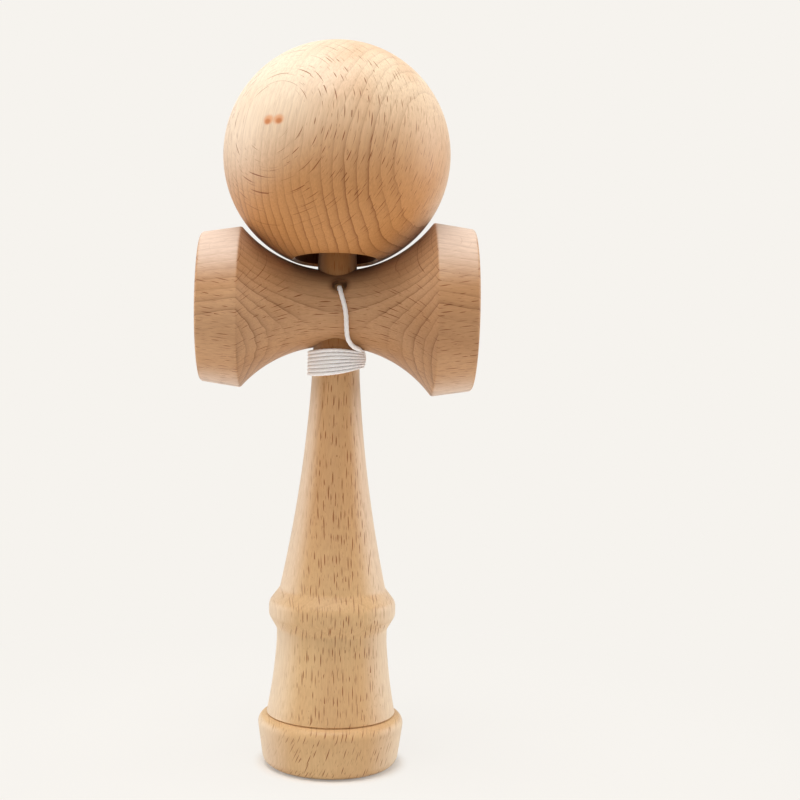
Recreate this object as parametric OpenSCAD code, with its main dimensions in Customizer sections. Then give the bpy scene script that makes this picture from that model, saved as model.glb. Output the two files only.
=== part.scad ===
// Kendama: a turned handle with a spike, a crosspiece with two cups pushed onto it,
// a drilled ball that rides on the spike, and the string that ties them together.
// The handle stands on +Z with its foot on z = 0, and the crosspiece lies along X.

/* [Handle] */
// Radius of the base where it meets the table
foot_r = 17.8; // [17.2:0.1:18.6]
// Radius of the base at its upper edge
base_r = 19.8; // [19:0.1:21]
// Height of the base band
base_h = 13.8; // [12:0.1:16]
// Mouth radius of the cup under the base
base_cup_r = 14; // [12:0.1:14.4]
// Depth of the cup under the base
base_cup_depth = 7; // [5.5:0.1:9]
// Radius of the grip where it meets the base
grip_r = 17.2; // [16:0.1:17.4]
// Radius of the grip at its waist
grip_waist_r = 14.7; // [13.6:0.1:15.2]
// Height of the waist of the grip
grip_waist_h = 33; // [30:0.1:34]
// Radius of the raised ring
ring_r = 16.9; // [16:0.1:18.4]
// Height of the middle of the raised ring
ring_h = 41.7; // [40.5:0.1:44]
// Width of the crown of the raised ring
ring_crown_w = 3.4; // [3:0.1:4.4]
// Width of each flank of the raised ring
ring_flank_w = 3.7; // [3.2:0.1:4.2]
// Radius of the handle just above the raised ring
taper_r = 14.1; // [13:0.1:15]
// How far the long taper is hollowed
taper_hollow = 1.1; // [0.4:0.1:1.6]
// Radius of the neck under the string winding
neck_r = 6.4; // [6:0.1:6.6]
// Height at which the neck begins
neck_h = 103; // [98:0.5:104]
// Radius of the spike where it leaves the crosspiece
spike_r = 5.1; // [4.8:0.1:5.6]
// Length of the spike above the axis of the crosspiece
spike_len = 42; // [36:0.5:44]
// Radius of the spike at its tip
tip_r = 2.6; // [2.2:0.1:3.2]

/* [Crosspiece] */
// Height of the axis of the crosspiece
cross_h = 121.6; // [121:0.1:126]
// Length of the crosspiece
cross_len = 72; // [66:0.5:78]
// Radius of the waist between the cups
waist_r = 10; // [9.4:0.1:10.4]
// How far the waist lies towards the small cup
waist_shift = 0.6; // [0:0.1:1.2]
// Distance of the two ridges from the handle
ridge_x = 25.4; // [24:0.1:28]
// Radius of the ridge of the big cup
big_ridge_r = 23; // [22:0.1:24.5]
// Radius of the rim of the big cup
big_rim_r = 21.4; // [20.4:0.1:22]
// Mouth radius of the big cup
big_cup_r = 19.2; // [17:0.1:19.6]
// Depth of the big cup
big_cup_depth = 9.5; // [7:0.1:10.5]
// Radius of the ridge of the small cup
small_ridge_r = 21.3; // [20.4:0.1:22.5]
// Radius of the rim of the small cup
small_rim_r = 19.7; // [18.8:0.1:20.2]
// Mouth radius of the small cup
small_cup_r = 17.5; // [15.5:0.1:18]
// Depth of the small cup
small_cup_depth = 8.5; // [6.5:0.1:9.5]
// Radius of the string hole in the waist
string_hole_r = 1.9; // [1.6:0.1:2.2]
// How far the string hole points up, in degrees
string_hole_tilt = 36; // [32:1:40]

/* [Ball] */
// Diameter of the ball
ball_d = 60; // [58:0.5:66]
// Radius of the bore for the spike
bore_r = 10.6; // [9.8:0.1:10.8]
// Radius of the broken edge at the mouth of the bore
bore_mouth_r = 11.3; // [10.9:0.1:11.8]
// Radius of the string hole through the top
top_hole_r = 1.8; // [1.5:0.1:2.2]
// Radius of the bead that holds the ball on its string
bead_r = 3.8; // [3.2:0.1:4.4]
// How far the ball leans back on the saddle, in degrees
ball_tilt = 6; // [0:0.5:7]

/* [String] */
// Diameter of the string
string_d = 1.2; // [1:0.05:1.3]
// Turns wound round the neck
winding_turns = 7.25; // [4.25:1:7.25]
// Distance from turn to turn
winding_pitch = 0.95; // [0.95:0.01:1]
// Radius of the knots at both ends of the string
knot_r = 1.5; // [1.3:0.1:1.6]

/* [Fits] */
// Play of the handle in the tapered bore of the crosspiece
taper_play = 0.12; // [0.05:0.01:0.2]
// Gap left where loose pieces rest on each other
seat_gap = 0.35; // [0.3:0.05:0.5]
// Play of the string in the holes that it fills
string_play = 0.3; // [0.2:0.05:0.4]

/* [Hidden] */
$fn = 96;

// Rounded edges of the handle
foot_round = 3.1;
// The upper edge of the base takes this share of the ledge round the grip, so that it ends before the crease
base_round_share = 0.72;
base_round = base_round_share * (base_r - grip_r);
crease_drop = 0.3;
ring_round = 3;
root_round = 3;
tip_round = 2.3;
grip_hollow = 0.35;
spike_crown = 0.35;
// Rounded edges of the crosspiece
rim_round = 0.9;
ridge_round = 0.8;
// Widening of the string hole at the top of the ball
top_hole_flare = 1.8;
// Height of the drill's cone at the end of the bore
bore_cone_h = 5.5;
// How deep the broken edge at the mouth of the bore reaches
bore_edge_h = 0.7;
// One overrun for all cuts
over = 1;
// Straight pieces that stand for each round stretch of an outline
arc_steps = 12;
edge_steps = 5;

// The tenon reaches this far past the waist above and below, and is this much slimmer than the neck
tenon_reach = 2.4;
tenon_step = 0.2;
tenon_half = waist_r + tenon_reach;
tenon_low_r = neck_r - tenon_step;
tip_z = cross_h + spike_len;
half_len = cross_len / 2;
ball_r = ball_d / 2;

// Radius of a round flank that is level at the waist and ends at a ridge
function flank_r(reach, rise) = (reach * reach + rise * rise) / (2 * rise);
// Radius of the saddle at a distance from the waist
function saddle_r(x, flank) = waist_r + flank - sqrt(flank * flank - x * x);
big_flank_r = flank_r(ridge_x + waist_shift, big_ridge_r - waist_r);
small_flank_r = flank_r(ridge_x - waist_shift, small_ridge_r - waist_r);

// The ball rests with the edge of its bore on the saddle and centres itself on the waist
seat_r = max(saddle_r(bore_mouth_r, big_flank_r), saddle_r(bore_mouth_r, small_flank_r));
mouth_drop = sqrt(ball_r * ball_r - bore_mouth_r * bore_mouth_r);
ball_x = -waist_shift;
mouth_z = cross_h + seat_r + seat_gap;
ball_z = mouth_z + mouth_drop;
ball_top_z = ball_z + ball_r;

// The knot lies over the tip of the spike, the bead on the knot, and the bore ends over the bead
knot_flat_share = 0.8;
knot_flat = knot_flat_share * knot_r;
bead_hole_r = string_d / 2 + string_play;
bead_knot_z = tip_z + seat_gap + knot_r;
bead_z = bead_knot_z + knot_flat + seat_gap + sqrt(bead_r * bead_r - bead_hole_r * bead_hole_r);
bore_slope = atan2(bore_cone_h, bore_r - top_hole_r);
bore_end_z = bead_z + (bead_r + seat_gap) / cos(bore_slope) - top_hole_r * tan(bore_slope);

// The string is tied behind the handle, lies low in its hole and leaves it over the lower lip
tie_x = 0.6;
tie_drop = 0.7;
tie_hole_r = string_d / 2 + string_play;
tie_end = 8.6;
tie_floor = -2.4;
knot_hole_r = knot_r + string_play;
tie_out = [
    tie_x,
    -tie_end * cos(string_hole_tilt) - tie_drop * sin(string_hole_tilt),
    cross_h + tie_end * sin(string_hole_tilt) - tie_drop * cos(string_hole_tilt)
];

// Height of the middle of the winding's first turn, and how much lower it lies at the sides,
// where the flanks of the crosspiece come down to it
winding_top_z = 110.45;
winding_sag = 0.5;
winding_start = -20;
// Wound under tension the string is narrow along the neck
wound_w = 0.44;
wound_share = 0.9;
wound_h = wound_share * string_d;
wound_r = neck_r + string_play / 2 + wound_h / 2;
loop_rings = 24;
wound_sides = 6;
cord_sides = 8;

// Route of the string from its hole down to the winding
lead_route = [
    [0.6, -8.5, 126.7], [0.7, -9.6, 126.6], [0.8, -10.3, 125.8], [1, -10.7, 124.4],
    [1.5, -10.9, 121.6], [2.1, -10.7, 118.5], [2.6, -10.1, 115.6], [3.3, -9.2, 113.3], [4.4, -8.1, 111.8],
    [5.4, -6.2, 110.9]
];
// Route from the winding up behind the handle to the back of the crosspiece
riser_route = [
    [0.1, 7.5, 103.4], [-1.2, 8.2, 103.7], [-1.9, 8.5, 105], [-2, 8.5, 107.5], [-1.7, 8.5, 110.5],
    [-1.2, 8.9, 113.5], [-0.7, 9.6, 116.2], [-0.6, 10.5, 118]
];
// Route from the crosspiece round the back of the ball, and its end over the top of an upright ball
back_route = [
    [-0.6, 10.5, 118], [-0.6, 12.2, 121], [-0.6, 19, 132.8], [-0.6, 24, 141.5], [-0.6, 26.9, 146.4],
    [-0.6, 29.9, 153.8], [-0.6, 31, 161.8], [-0.6, 29.9, 169.9], [-0.6, 26.8, 177.3], [-0.6, 21.9, 183.7],
    [-0.6, 15.5, 188.6]
];
top_route = [
    [-0.6, 9.5, 191.3], [-0.6, 5, 192.2], [-0.6, 2.8, 191.8], [-0.6, 1.1, 190.7], [-0.6, 0.2, 189.1],
    [-0.6, 0, 187.6]
];
core_top_z = 187.6;

// Point of the upright ball, carried along as the ball leans back about its middle
function lean(p) = [
    p[0],
    p[1] * cos(ball_tilt) + (p[2] - ball_z) * sin(ball_tilt),
    ball_z + (p[2] - ball_z) * cos(ball_tilt) - p[1] * sin(ball_tilt)
];
rear_route = concat(back_route, [for (p = top_route) lean(p)]);
rear_end = [0, -sin(ball_tilt), -cos(ball_tilt)];

function unit(v) = v / norm(v);
function mix(a, b, t) = a + (b - a) * t;

// Points of a round corner at b between a and c, or b itself where the radius is zero
function corner(a, b, c, r) =
    r == 0 ? [b] :
    let (
        u = unit(a - b),
        v = unit(c - b),
        half = acos(u * v) / 2,
        mid = b + unit(u + v) * r / sin(half),
        from = b + u * r / tan(half) - mid,
        to = b + v * r / tan(half) - mid,
        turn = 180 - 2 * half
    )
    [for (i = [0 : edge_steps])
        let (t = i / edge_steps)
        mid + (from * sin((1 - t) * turn) + to * sin(t * turn)) / sin(turn)];

// Outline through corners [radius, height, rounding], with the first and last ones sharp
function outline(p) = [
    for (i = [0 : len(p) - 1])
        for (q = i == 0 || i == len(p) - 1 ? [[p[i][0], p[i][1]]]
            : corner([p[i - 1][0], p[i - 1][1]], [p[i][0], p[i][1]], [p[i + 1][0], p[i + 1][1]], p[i][2]))
            q
];

// Points between a and b of a stretch that bulges to the right of its way by the given height
function bulge(a, b, h) = [
    for (i = [1 : arc_steps - 1])
        let (
            t = i / arc_steps,
            d = unit(b - a),
            out = [d[1], -d[0]],
            q = mix(a, b, t) + out * h * 4 * t * (1 - t)
        )
        [q[0], q[1], 0]
];

// Points of the saddle from the waist to a ridge, side by side with the ridge left out
function flank(side, reach, flank_radius) = [
    for (i = [0 : arc_steps - 1])
        let (x = reach * i / arc_steps)
        [saddle_r(x, flank_radius), side * x - waist_shift, 0]
];
function reversed(p) = [for (i = [len(p) - 1 : -1 : 0]) p[i]];

// Radius of the sphere whose cap has this mouth and depth
function cap_r(mouth, depth) = (mouth * mouth + depth * depth) / (2 * depth);

// Smooth curve through the points of a route, with one more point between each two
function curve_point(a, b, c, d, t) =
    0.5 * (2 * b + (c - a) * t + (2 * a - 5 * b + 4 * c - d) * t * t + (3 * b - a - 3 * c + d) * t * t * t);
function curve(p) = concat([
    for (i = [0 : len(p) - 2])
        for (t = [0, 0.5])
            curve_point(p[max(i - 1, 0)], p[i], p[i + 1], p[min(i + 2, len(p) - 1)], t)
], [p[len(p) - 1]]);

// Ring of points round a line, square to it
function ring(at, along, r, sides) =
    let (
        u = unit(cross(along, [1, 0, 0])),
        v = cross(along, u)
    )
    [for (k = [0 : sides - 1]) at + r * (cos(360 * k / sides) * u + sin(360 * k / sides) * v)];

// Rings of a string along a line whose first and last stretch are given
function cord_rings(line, first, last) = [
    for (i = [0 : len(line) - 1])
        ring(
            line[i],
            i == 0 ? unit(first) : i == len(line) - 1 ? unit(last) : unit(line[i + 1] - line[i - 1]),
            string_d / 2,
            cord_sides
        )
];

// Solid through a row of rings that all have as many points
module tube(rings) {
    n = len(rings[0]);
    last = len(rings) - 1;
    polyhedron(
        points = [for (r = rings) for (p = r) p],
        faces = concat(
            [for (i = [0 : last - 1]) for (k = [0 : n - 1]) [i * n + k, i * n + (k + 1) % n, (i + 1) * n + k]],
            [for (i = [0 : last - 1]) for (k = [0 : n - 1])
                [i * n + (k + 1) % n, (i + 1) * n + (k + 1) % n, (i + 1) * n + k]],
            [for (k = [1 : n - 2]) [0, k + 1, k]],
            [for (k = [1 : n - 2]) [last * n, last * n + k, last * n + k + 1]]
        )
    );
}

// Winding: centre line, its two straight ends and its oval rings
winding_end = winding_start + 360 * winding_turns;
function winding_z(a) =
    winding_top_z - winding_pitch * a / 360 - winding_sag * cos(2 * a) * (1 - a / winding_end);
function winding_point(a) = [wound_r * cos(a), wound_r * sin(a), winding_z(a)];
function winding_way(a) = [-sin(a), cos(a), 0];
winding_angles = [for (i = [0 : loop_rings * winding_turns]) winding_start + 360 * i / loop_rings];
function wound_ring(at, a) = [
    for (k = [0 : wound_sides - 1])
        at + wound_h / 2 * cos(360 * k / wound_sides) * [cos(a), sin(a), 0]
            - [0, 0, wound_w / 2 * sin(360 * k / wound_sides)]
];
winding_in = winding_point(winding_start) - string_d * winding_way(winding_start);
winding_out = winding_point(winding_end) + string_d * winding_way(winding_end);
winding_rings = concat(
    [wound_ring(winding_in, winding_start)],
    [for (a = winding_angles) wound_ring(winding_point(a), a)],
    [wound_ring(winding_out, winding_end)]
);
// Least gap from a turn to the next, over all pairs of ring points about one loop apart
loop_part = loop_rings / 4;
winding_gap = min([
    for (i = [0 : len(winding_rings) - 1])
        for (j = [i + loop_rings - loop_part : min(i + loop_rings + loop_part, len(winding_rings) - 1)])
            for (p = winding_rings[i])
                for (q = winding_rings[j])
                    norm(p - q)
]);
echo(winding_gap = winding_gap);

// Places a child on the string hole: its +Z runs out of the front of the waist
module on_string_hole(drop) {
    translate([tie_x, 0, cross_h])
        rotate([90 - string_hole_tilt, 0, 0])
            translate([0, -drop, 0])
                children();
}

// Leans a child back with the ball, about the ball's middle
module on_ball() {
    translate([ball_x, 0, ball_z])
        rotate([-ball_tilt, 0, 0])
            translate([-ball_x, 0, -ball_z])
                children();
}

// Turned handle: base with its cup, grip, raised ring, long taper, neck, tenon and spike
module ken_handle() {
    ring_low = ring_h - ring_crown_w / 2;
    ring_high = ring_h + ring_crown_w / 2;
    grip_low = [grip_r, base_h - crease_drop];
    grip_high = [grip_waist_r, grip_waist_h];
    taper_low = [taper_r, ring_high + ring_flank_w];
    neck_low = [neck_r, neck_h];
    spike_low = [spike_r, cross_h + tenon_half];
    spike_high = [tip_r, tip_z];
    cup_r = cap_r(base_cup_r, base_cup_depth);
    corners = concat(
        [
            [0, 0, 0],
            [foot_r, 0, foot_round],
            [base_r, base_h, base_round],
            [grip_r, base_h - crease_drop, 0]
        ],
        bulge(grip_low, grip_high, -grip_hollow),
        [
            [grip_waist_r, grip_waist_h, 0],
            [grip_waist_r, ring_low - ring_flank_w, root_round],
            [ring_r, ring_low, ring_round],
            [ring_r, ring_high, ring_round],
            [taper_r, ring_high + ring_flank_w, root_round]
        ],
        bulge(taper_low, neck_low, -taper_hollow),
        [
            [neck_r, neck_h, 0],
            [tenon_low_r, cross_h - tenon_half, 0],
            [spike_r, cross_h + tenon_half, 0]
        ],
        bulge(spike_low, spike_high, spike_crown),
        [
            [tip_r, tip_z, tip_round],
            [0, tip_z, 0]
        ]
    );
    color([0.86, 0.71, 0.54])
        difference() {
            rotate_extrude()
                polygon(outline(corners));
            translate([0, 0, base_cup_depth - cup_r])
                sphere(r = cup_r);
            on_string_hole(tie_drop)
                translate([0, 0, tie_floor - over])
                    cylinder(r = tie_hole_r, h = tie_end - tie_floor + over);
            on_string_hole(tie_drop)
                translate([0, 0, tie_floor - waist_r])
                    cylinder(r = knot_hole_r, h = waist_r);
        }
}

// Crosspiece with a cup at each end, a tapered bore for the handle and the string hole
module sarado_crosspiece() {
    big_r = cap_r(big_cup_r, big_cup_depth);
    small_r = cap_r(small_cup_r, small_cup_depth);
    corners = concat(
        [
            [0, -half_len, 0],
            [small_rim_r, -half_len, rim_round],
            [small_ridge_r, -ridge_x, ridge_round]
        ],
        reversed(flank(-1, ridge_x - waist_shift, small_flank_r)),
        [for (i = [1 : arc_steps - 1]) flank(1, ridge_x + waist_shift, big_flank_r)[i]],
        [
            [big_ridge_r, ridge_x, ridge_round],
            [big_rim_r, half_len, rim_round],
            [0, half_len, 0]
        ]
    );
    color([0.78, 0.62, 0.47])
        difference() {
            translate([0, 0, cross_h])
                rotate([0, 90, 0])
                    rotate_extrude()
                        polygon(outline(corners));
            translate([half_len - big_cup_depth + big_r, 0, cross_h])
                sphere(r = big_r);
            translate([small_cup_depth - half_len - small_r, 0, cross_h])
                sphere(r = small_r);
            translate([0, 0, cross_h - tenon_half])
                cylinder(r1 = tenon_low_r + taper_play, r2 = spike_r + taper_play, h = 2 * tenon_half);
            on_string_hole(0)
                cylinder(r = string_hole_r, h = waist_r + over);
        }
}

// Ball with the bore for the spike from below and the string hole through its top
module tama_ball() {
    color([0.9, 0.75, 0.55])
        on_ball()
            difference() {
                translate([ball_x, 0, ball_z])
                    sphere(r = ball_r);
                translate([ball_x, 0, mouth_z - ball_r])
                    cylinder(r = bore_r, h = ball_r + bore_end_z - bore_cone_h - mouth_z);
                translate([ball_x, 0, bore_end_z - bore_cone_h])
                    cylinder(r1 = bore_r, r2 = top_hole_r, h = bore_cone_h);
                translate([ball_x, 0, mouth_z])
                    cylinder(r1 = bore_mouth_r, r2 = bore_r, h = bore_edge_h);
                translate([ball_x, 0, mouth_z - ball_r])
                    cylinder(r = bore_mouth_r, h = ball_r);
                translate([ball_x, 0, bore_end_z - over])
                    cylinder(r = top_hole_r, h = ball_r);
                translate([ball_x, 0, ball_top_z - top_hole_flare - top_hole_r])
                    cylinder(r1 = top_hole_r, r2 = top_hole_r + 2 * top_hole_flare, h = 2 * top_hole_flare);
            }
}

// Bead inside the ball that carries it on the string
module string_bead() {
    color([0.82, 0.66, 0.48])
        on_ball()
            translate([ball_x, 0, bead_z])
                difference() {
                    sphere(r = bead_r);
                    translate([0, 0, -bead_r - over])
                        cylinder(r = bead_hole_r, h = 2 * (bead_r + over));
                }
}

// Knot in the string's end, flat on the side that is drawn against its seat
module knot() {
    difference() {
        sphere(r = knot_r);
        translate([0, 0, knot_flat])
            cylinder(r = knot_r, h = knot_r);
    }
}

module bead_knot() {
    color([0.96, 0.95, 0.95])
        on_ball()
            translate([ball_x, 0, bead_knot_z])
                knot();
}

module ken_knot() {
    color([0.96, 0.95, 0.95])
        on_string_hole(tie_drop)
            translate([0, 0, tie_floor - seat_gap - knot_flat])
                knot();
}

// String from its knot through the handle to the mouth of the string hole
module string_anchor() {
    low = tie_floor - seat_gap;
    color([0.96, 0.95, 0.95])
        on_string_hole(tie_drop)
            translate([0, 0, low])
                cylinder(d = string_d, h = tie_end - low);
}

module string_lead() {
    line = concat([tie_out], lead_route, [winding_in]);
    out = [0, -cos(string_hole_tilt), sin(string_hole_tilt)];
    color([0.96, 0.95, 0.95])
        tube(cord_rings(line, out, winding_way(winding_start)));
}

module string_winding() {
    color([0.96, 0.95, 0.95])
        tube(winding_rings);
}

module string_riser() {
    line = concat([winding_out], riser_route);
    color([0.96, 0.95, 0.95])
        tube(cord_rings(line, winding_way(winding_end), rear_route[1] - rear_route[0]));
}

module string_rear() {
    line = curve(rear_route);
    color([0.96, 0.95, 0.95])
        tube(cord_rings(line, rear_route[1] - rear_route[0], rear_end));
}

// String from the top of the ball down through the bead to its knot
module string_core() {
    low = bead_knot_z + knot_flat;
    color([0.96, 0.95, 0.95])
        on_ball()
            translate([ball_x, 0, low])
                cylinder(d = string_d, h = core_top_z - low);
}

ken_handle();
sarado_crosspiece();
tama_ball();
string_bead();
bead_knot();
ken_knot();
string_anchor();
string_lead();
string_winding();
string_riser();
string_rear();
string_core();
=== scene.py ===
"""Kendama of bare beech: handle, crosspiece and ball, tied together by one white string.

All sizes are in millimetres until a mesh is written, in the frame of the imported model:
+Z up the handle, +X along the crosspiece to the big cup, -Y towards the camera.
"""
import math

import bmesh
import bpy
import numpy as np
from mathutils import Matrix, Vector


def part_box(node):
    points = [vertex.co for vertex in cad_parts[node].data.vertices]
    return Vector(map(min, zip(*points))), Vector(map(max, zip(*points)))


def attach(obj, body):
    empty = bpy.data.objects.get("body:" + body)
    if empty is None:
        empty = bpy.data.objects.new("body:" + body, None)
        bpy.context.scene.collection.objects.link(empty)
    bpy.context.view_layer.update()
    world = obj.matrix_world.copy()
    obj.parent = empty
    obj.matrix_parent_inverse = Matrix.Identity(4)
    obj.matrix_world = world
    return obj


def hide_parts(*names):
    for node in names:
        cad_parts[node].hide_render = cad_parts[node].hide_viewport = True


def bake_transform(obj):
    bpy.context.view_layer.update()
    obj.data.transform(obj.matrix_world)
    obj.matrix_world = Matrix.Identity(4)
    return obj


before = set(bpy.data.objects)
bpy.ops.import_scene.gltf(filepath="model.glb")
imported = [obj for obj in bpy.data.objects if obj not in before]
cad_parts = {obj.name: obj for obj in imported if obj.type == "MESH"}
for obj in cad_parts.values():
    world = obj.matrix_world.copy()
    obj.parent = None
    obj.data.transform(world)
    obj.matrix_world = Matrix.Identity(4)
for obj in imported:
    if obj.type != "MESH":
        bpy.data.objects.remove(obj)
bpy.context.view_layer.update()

MM = 0.001

# Sizes of the wood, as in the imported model
FOOT_R, BASE_R, BASE_H, CREASE_DROP = 17.8, 19.8, 13.8, 0.3
BASE_CUP_R, BASE_CUP_DEPTH = 14.0, 7.0
GRIP_R, GRIP_WAIST_R, GRIP_WAIST_H, GRIP_HOLLOW = 17.2, 14.7, 33.0, 0.35
RING_R, RING_H, RING_CROWN_W, RING_FLANK_W = 16.9, 41.7, 3.4, 3.7
TAPER_R, TAPER_HOLLOW, NECK_R, NECK_H = 14.1, 1.1, 6.4, 103.0
TENON_HALF, TENON_LOW_R, TAPER_PLAY = 12.4, 6.2, 0.12
SPIKE_R, SPIKE_LEN, TIP_R, SPIKE_CROWN = 5.1, 42.0, 2.6, 0.35
CROSS_H, HALF_LEN, WAIST_R, WAIST_SHIFT, RIDGE_X = 121.6, 36.0, 10.0, 0.6, 25.4
BIG_RIDGE_R, BIG_RIM_R, BIG_CUP_R, BIG_CUP_DEPTH = 23.0, 21.4, 19.2, 9.5
SMALL_RIDGE_R, SMALL_RIM_R, SMALL_CUP_R, SMALL_CUP_DEPTH = 21.3, 19.7, 17.5, 8.5
STRING_HOLE_R, STRING_HOLE_TILT, TIE_X, TIE_DROP = 1.9, 36.0, 0.6, 0.7
TIE_HOLE_R, TIE_HOLE_FLOOR, KNOT_HOLE_R = 0.9, -2.4, 1.8
BALL_R, BALL_X, BALL_Z, BALL_TILT, MOUTH_Z = 30.0, -0.6, 161.768, 6.0, 133.9776
BORE_R, BORE_MOUTH_R, BORE_EDGE_H, BORE_CONE_H, TOP_HOLE_R = 10.6, 11.3, 0.7, 5.5, 1.8
BEAD_R, BEAD_HOLE_R, BEAD_HOLE_HALF, BEAD_Z, BEAD_KNOT_Z, SEAT_GAP = 3.8, 0.9, 3.6, 170.692, 165.45, 0.35

# Rounded edges and fine cuts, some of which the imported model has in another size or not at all
FOOT_ROUND, BASE_ROUND, RING_ROUND, TIP_ROUND, CUP_ROUND = 3.1, 2.4, 3.0, 2.3, 0.5
RIM_ROUND, RIDGE_ROUND, BORE_MOUTH_ROUND, BORE_END_ROUND = 0.9, 0.8, 0.4, 0.3
CREASE_CUT_H, CREASE_CUT_DEPTH, CREASE_LEDGE, CREASE_LIP = 0.4, 0.45, 0.1, 0.06
HOLE_FLARE_LOW, HOLE_FLARE = 9.9, [(2.0, 10.05), (2.25, 10.35), (2.9, 11.0)]
TOP_FLARE_R, TOP_FLARE_DROP, TOP_FLARE_ROUND, TOP_FLARE_POINTS = 5.0, 1.6, 2.6, 12
TOP_FLARE_LEG, TOP_FLARE_RISE, TOP_HOLE_LEG = 4.0, 1.0, 8.0
TOP_HOLE_START, TOP_HOLE_END, CUT_OVERRUN, WALL_SLACK = 3.2, 3.6, 1.0, 0.05
# Edges that turn by more than this many degrees stay sharp
SHARP, STRING_SHARP, KNOT_SHARP = 40.0, 60.0, 80.0

# Sizes of the string: places along the string hole count from the handle's axis
STRING_D, STRANDS, STRAND_DEPTH, LAY = 1.2, 3, 0.055, 4.2
TIE_END, TIE_FLOOR, TIE_BLEND = 8.6, -2.75, 6.0
CORE_TOP_Z, CORE_END_Z = 186.0, 166.65
KNOT_SPREAD, KNOT_LIFT, KNOT_TUBE_R, KNOT_SINK = 0.30, 0.42, 0.48, 0.15
TUBE_STEP, CURVE_STEPS, PATH_EVERY = 0.3, 8, 3


# Outlines

def steps(a, b, count):
    """Points of the straight line from a to b, with both ends."""
    share = np.linspace(0.0, 1.0, count)[:, None]
    return np.asarray(a, float) * (1 - share) + np.asarray(b, float) * share


def rounded(a, b, c, radius, count=10):
    """Round corner at b: the arc of that radius that touches the legs towards a and c."""
    a, b, c = (np.asarray(p, float) for p in (a, b, c))
    u, v = (a - b) / np.linalg.norm(a - b), (c - b) / np.linalg.norm(c - b)
    half = math.acos(float(np.clip(u @ v, -1, 1))) / 2
    middle = b + (u + v) / np.linalg.norm(u + v) * radius / math.sin(half)
    start, end = b + u * radius / math.tan(half) - middle, b + v * radius / math.tan(half) - middle
    turn, share = math.pi - 2 * half, np.linspace(0.0, 1.0, count)[:, None]
    return middle + (start * np.sin((1 - share) * turn) + end * np.sin(share * turn)) / math.sin(turn)


def outline(corners):
    """Line through corners (radius, height, rounding), each round where its rounding isn't zero."""
    flat = [np.array(c[:2], float) for c in corners]
    last = len(corners) - 1
    parts = [
        rounded(flat[i - 1], flat[i], flat[i + 1], c[2]) if 0 < i < last and c[2] else flat[i][None]
        for i, c in enumerate(corners)
    ]
    return np.concatenate(parts)


def sharp_corners(points):
    """Points of a line as corners without rounding."""
    return [(r, z, 0) for r, z in points]


def filled(line, longest):
    """The same line with more points on it, so that no stretch is longer than the given one."""
    counts = np.maximum(np.ceil(np.linalg.norm(np.diff(line, axis=0), axis=1) / longest), 1).astype(int)
    place = np.concatenate([np.arange(n) / n + i for i, n in enumerate(counts)] + [[len(counts)]])
    return np.stack([np.interp(place, np.arange(len(line)), line[:, k]) for k in (0, 1)], axis=1)


def bulge(a, b, height, count=40):
    """Corners of a shallow parabola from a to b that stands out to the right of its way by that height."""
    a, b = np.asarray(a, float), np.asarray(b, float)
    along = (b - a) / np.linalg.norm(b - a)
    share = np.linspace(0.0, 1.0, count)[1:-1, None]
    line = a + (b - a) * share + np.array([along[1], -along[0]]) * height * 4 * share * (1 - share)
    return sharp_corners(line)


def dish(mouth_r, depth, count=36):
    """Hollow of a cup as (radius, depth below the mouth), from its middle to its rim: a cap of a sphere."""
    cap_r = (mouth_r ** 2 + depth ** 2) / (2 * depth)
    angle = np.linspace(0.0, math.asin(mouth_r / cap_r), count)
    return np.stack([cap_r * np.sin(angle), depth - cap_r * (1 - np.cos(angle))], axis=1)


def rod(radius, low, high):
    """Outline of a straight rod from one place on its axis to another."""
    return np.array([[0, low], [radius, low], [radius, high], [0, high]])


# Meshes

def mesh_of(name, grid, round_rows=False, round_columns=True, sharp=SHARP):
    """Object over a grid of points (rows, columns, 3): four neighbours make one face, and poles and seams
    are merged. Edges that turn by more than the angle sharp stay sharp."""
    rows, columns = grid.shape[:2]
    i = np.arange(rows if round_rows else rows - 1)[:, None]
    j = np.arange(columns if round_columns else columns - 1)[None, :]
    i2, j2 = (i + 1) % rows, (j + 1) % columns
    corners = i * columns + j, i * columns + j2, i2 * columns + j2, i2 * columns + j
    faces = np.stack(np.broadcast_arrays(*corners), axis=-1)
    mesh = bpy.data.meshes.new(name)
    mesh.from_pydata(grid.reshape(-1, 3) * MM, [], faces.reshape(-1, 4).tolist())
    work = bmesh.new()
    work.from_mesh(mesh)
    bmesh.ops.remove_doubles(work, verts=work.verts, dist=1e-7)
    bmesh.ops.recalc_face_normals(work, faces=work.faces)
    work.to_mesh(mesh)
    work.free()
    mesh.shade_smooth()
    mesh.set_sharp_from_angle(angle=math.radians(sharp))
    piece = bpy.data.objects.new(name, mesh)
    bpy.context.scene.collection.objects.link(piece)
    return piece


def turned(name, profile, axis="Z", centre=(0, 0, 0), columns=256, closed=False):
    """Turned piece: the profile (radius, place along its axis) is carried once round, about the centre."""
    angle = np.linspace(0.0, 2 * math.pi, columns, endpoint=False)
    r, along = profile[:, :1], np.repeat(profile[:, 1:], columns, axis=1)
    if axis == "Z":
        grid = np.stack([r * np.cos(angle), r * np.sin(angle), along], axis=-1)
    else:
        grid = np.stack([along, r * np.cos(angle), r * np.sin(angle)], axis=-1)
    return mesh_of(name, grid + np.asarray(centre, float), round_rows=closed)


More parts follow.
